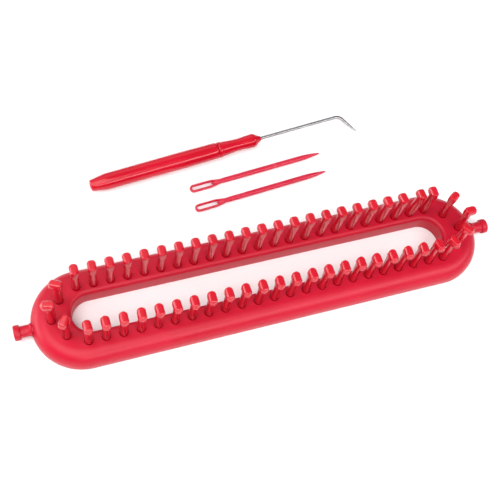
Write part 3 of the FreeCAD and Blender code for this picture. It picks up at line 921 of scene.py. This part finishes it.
def make_handle(material):
    """Barrel and waisted front grip, with a raised collar at the seam. Gives the tool's seat."""
    seam = BARREL_LENGTH
    barrel = [(0.4, 1.5), (0.05, 2.0), (0.0, 2.7)]
    barrel += [(0.12, 3.1), (0.45, 3.42), (0.9, 3.6)]
    barrel += [(5.0, 4.32), (9.4, 4.97), (10.2, 5.06), (11.2, 5.1)]
    barrel += ease(11.2, 5.1, 58.0, BARREL_RADIUS, 10)
    barrel += ease(58.0, BARREL_RADIUS, seam - 4.0, BARREL_RADIUS - 0.12, 6)
    barrel += [(seam - 1.3, BARREL_RADIUS - 0.2), (seam - 0.8, BARREL_RADIUS - 0.28)]
    barrel += [(seam - 0.35, BARREL_RADIUS - 0.5), (seam - 0.1, BARREL_RADIUS - 0.95), (seam - 0.05, 3.0)]
    rear = turned("tool_handle_barrel", barrel)
    seat = seat_of(rear, "tool_barrel", TOOL_HEADING)
    finish_piece(rear, "hook_tool", material, ["tool_barrel"],
                 offset=seat, heading=TOOL_HEADING)

    nose = seam + GRIP_LENGTH
    grip = [(seam - 0.04, 3.0), (seam, 4.2), (seam + 0.12, 4.6), (seam + 0.45, 4.88)]
    grip += [(seam + 0.9, COLLAR_RADIUS), (seam + 2.0, COLLAR_RADIUS), (seam + 2.5, 4.86)]
    grip += [(seam + 2.85, 4.6)]
    grip += ease(seam + 2.85, 4.6, seam + WAIST_PLACE, WAIST_RADIUS, 12)
    grip += ease(seam + WAIST_PLACE, WAIST_RADIUS, nose - 7.6, 4.3, 8)
    grip += [(nose - 6.6, 4.41), (nose - 5.6, SWELL_RADIUS), (nose - 4.9, 4.36), (nose - 4.3, 4.05)]
    grip += [(nose - 2.4, 2.75), (nose - 0.9, 1.85), (nose - 0.3, 1.6), (nose - 0.05, 1.35), (nose, 1.1)]
    front = turned("tool_handle_grip", grip)
    finish_piece(front, "hook_tool", material, ["tool_grip"],
                 offset=seat, heading=TOOL_HEADING)
    return seat


def make_hook(seat, material):
    """Steel rod with one bend, tapering to a round tip that droops to the table."""
    nose = BARREL_LENGTH + GRIP_LENGTH
    bend = Vector((nose + SHANK_REACH, 0, 0))
    sink = BARREL_RADIUS - HOOK_TIP
    flat = math.sqrt(HOOK_LENGTH ** 2 - sink ** 2)
    tip = bend + Vector((flat * math.cos(rad(HOOK_SWING)), -flat * math.sin(rad(HOOK_SWING)), -sink))
    ahead = Vector((1, 0, 0))
    out = (tip - bend).normalized()
    turn = ahead.angle(out)
    setback = HOOK_BEND * math.tan(turn / 2)
    start = bend - ahead * setback
    side = (out - ahead * ahead.dot(out)).normalized()
    line = [Vector((nose - SHANK_BURIED, 0, 0)), Vector((nose - 6.0, 0, 0)), Vector((nose + 2.0, 0, 0))]
    line += [Vector((nose + SHANK_REACH * 0.5, 0, 0))]
    bend_steps = 14
    for i in range(bend_steps + 1):
        a = turn * i / bend_steps
        line.append(start + ahead * HOOK_BEND * math.sin(a) + side * HOOK_BEND * (1 - math.cos(a)))
    girths = [SHANK_RADIUS] * len(line)
    arm_start = line[-1]
    arm = (tip - arm_start).length
    for share in (0.35, 0.7, 0.93):
        line.append(arm_start + out * arm * share)
        girths.append(SHANK_RADIUS + (HOOK_TIP - SHANK_RADIUS) * share)
    for a in (0, 25, 50, 72, 86):
        line.append(tip + out * HOOK_TIP * math.sin(rad(a)))
        girths.append(HOOK_TIP * math.cos(rad(a)))
    hook = rod("steel_hook", line, girths, material, 28)
    finish_piece(hook, "hook_tool", material, ["tool_hook"],
                 offset=seat, heading=TOOL_HEADING, smooth_angle=50)


# ======================================================================================
# the yarn needles
# ======================================================================================

NEEDLE_LENGTH = 90.0
NEEDLE_HEADING = 4.85
NEEDLE_RADIUS = 1.65
NEEDLE_HEAD_HALF = 2.6
EYE_HALF = 1.25
EYE_END = 16.0
EYE_THICKNESS = 2.4
NECK_RADIUS = 1.42


def make_needle(node, material):
    """Long-eyed plastic needle: a flattened loop that runs together into a tapered shaft."""
    leg = (NEEDLE_HEAD_HALF - EYE_HALF) / 2
    middle = EYE_HALF + leg
    loop = [(EYE_END + 6.0, 0.6), (EYE_END + 4.0, 0.8), (EYE_END + 2.0, 1.2), (EYE_END, 1.6)]
    loop += [(EYE_END - 2.0, 1.86), (EYE_END - 4.0, middle), (EYE_END - 8.0, middle)]
    loop += arc(NEEDLE_HEAD_HALF, 0.0, middle, 90, 180, 9)
    back = [(px, -py) for px, py in reversed(loop[:-1])]
    line = [(px, py, 0.0) for px, py in loop + back]
    eye = rod("eye", line, [1.0] * len(line), material, 20, width=leg, height=EYE_THICKNESS / 2)

    profile = [(EYE_END - 1.6, 0.15), (EYE_END - 1.1, 0.6), (EYE_END + 0.2, 1.0)]
    profile += [(EYE_END + 2.4, NECK_RADIUS)]
    profile += ease(EYE_END + 2.4, NECK_RADIUS, EYE_END + 8.0, NEEDLE_RADIUS, 5)
    profile += [(50.0, NEEDLE_RADIUS + 0.03), (76.0, NEEDLE_RADIUS + 0.05), (79.0, 1.6)]
    profile += [(82.5, 1.33), (86.0, 0.95), (88.4, 0.66), (89.3, 0.5), (89.8, 0.3), (NEEDLE_LENGTH, 0.08)]
    shaft = turned("shaft", profile, 32)
    point_faces_out(eye.data)
    point_faces_out(shaft.data)
    shaft.name = node.replace("needle", "yarn_needle")
    combine(shaft, "UNION", [eye])
    finish_piece(shaft, node, material, [node], heading=NEEDLE_HEADING, smooth_angle=45,
                 offset=seat_of(shaft, node, NEEDLE_HEADING))


# ======================================================================================
# floor, light and camera
# ======================================================================================

def make_floor():
    """A wide sheet of pale paper under everything, which is not part of the object."""
    half = 6.0
    mesh = bpy.data.meshes.new("paper_floor")
    corners = [(-half, -half, 0), (half, -half, 0), (half, half, 0), (-half, half, 0)]
    mesh.from_pydata(corners, [], [(0, 1, 2, 3)])
    mesh.materials.append(studio_paper())
    new_object("paper_floor", mesh)


def soft_light(name, direction, distance, size, size_y, power):
    """A soft box aimed at the loom's middle, seen from the given direction."""
    light = bpy.data.lights.new(name, "AREA")
    light.shape = "RECTANGLE"
    light.size = size
    light.size_y = size_y
    light.energy = power
    lamp = bpy.data.objects.new(name, light)
    bpy.context.scene.collection.objects.link(lamp)
    aim = Vector(direction).normalized()
    lamp.location = aim * distance + Vector((0, 0.02, 0))
    lamp.rotation_euler = aim.to_track_quat("Z", "Y").to_euler()


def make_light():
    soft_light("front_strip", (0.40, -0.65, 0.65), 1.1, 2.0, 0.24, 12.0)
    soft_light("overhead", (-0.34, -0.20, 0.92), 1.25, 1.4, 1.0, 16.5)
    soft_light("left_window", (-0.90, 0.30, 0.24), 1.2, 0.8, 0.35, 7.0)
    soft_light("back_fill", (-0.25, 0.72, 0.65), 1.5, 2.2, 1.2, 6.5)
    world = bpy.data.worlds.new("studio")
    world.use_nodes = True
    world.node_tree.nodes.clear()
    w = Wiring(world.node_tree)
    where = w.add("ShaderNodeTexCoord").outputs["Generated"]
    height = w.add("ShaderNodeSeparateXYZ", {0: where}).outputs["Z"]
    rise = w.add("ShaderNodeMapRange", {"Value": height, "From Min": 0.0, "From Max": 0.7}).outputs[0]
    colour = mix_colour(w, rise, (0.13, 0.13, 0.14, 1), (0.27, 0.27, 0.28, 1))
    sky = w.add("ShaderNodeBackground", {"Color": colour, "Strength": 1.0})
    output = w.add("ShaderNodeOutputWorld")
    w.tree.links.new(sky.outputs[0], output.inputs["Surface"])
    bpy.context.scene.world = world


def make_camera():
    camera = bpy.data.cameras.new("camera")
    camera.sensor_width = 36.0
    camera.lens = 64.0865
    holder = bpy.data.objects.new("camera", camera)
    bpy.context.scene.collection.objects.link(holder)
    holder.location = (-0.12786, -0.18591, 0.49193)
    holder.rotation_euler = (rad(25.2835), rad(-7.0370), rad(-16.7756))
    bpy.context.scene.camera = holder


# ======================================================================================
# putting it together
# ======================================================================================

PLANT = make_plant_tree()
ROD = make_rod_tree()
BAND = make_band_tree(make_racetrack_tree())
MOULDING = make_moulding_tree()
SCUFFS = make_scuff_tree()
EDGES = make_edge_tree()

frame_red = plastic("frame_plastic", (0.435, 0.002, 0.017), (0.495, 0.004, 0.025), (0.66, 0.05, 0.08),
                    roughness=0.39, ripple=170.0, bump=0.17, scuffs=0.5, edges=0.3, specular=0.30)
peg_red = plastic("peg_plastic", (0.45, 0.001, 0.011), (0.52, 0.003, 0.017), (0.74, 0.08, 0.12),
                  roughness=0.20, ripple=260.0, bump=0.06, scuffs=0.35, edges=0.4, specular=0.65)
handle_red = plastic("handle_plastic", (0.43, 0.002, 0.012), (0.50, 0.003, 0.018), (0.68, 0.07, 0.10),
                     roughness=0.14, ripple=60.0, bump=0.05, scuffs=0.4, edges=0.3, specular=0.36)
needle_red = plastic("needle_plastic", (0.46, 0.006, 0.030), (0.53, 0.010, 0.042), (0.68, 0.09, 0.14),
                     roughness=0.26, ripple=320.0, bump=0.07, scuffs=0.25, edges=0.25, translucent=0.2)
steel = plated_steel()

make_camera()
make_floor()
make_light()
places = peg_places()
make_frame(places, frame_red)
make_underside(places, frame_red)
make_pegs(places, peg_red)
make_knob("knob_left", -1, frame_red)
make_knob("knob_right", 1, frame_red)
tool_seat = make_handle(handle_red)
make_hook(tool_seat, steel)
make_needle("needle_1", needle_red)
make_needle("needle_2", needle_red)

bpy.context.scene.view_settings.view_transform = "Standard"
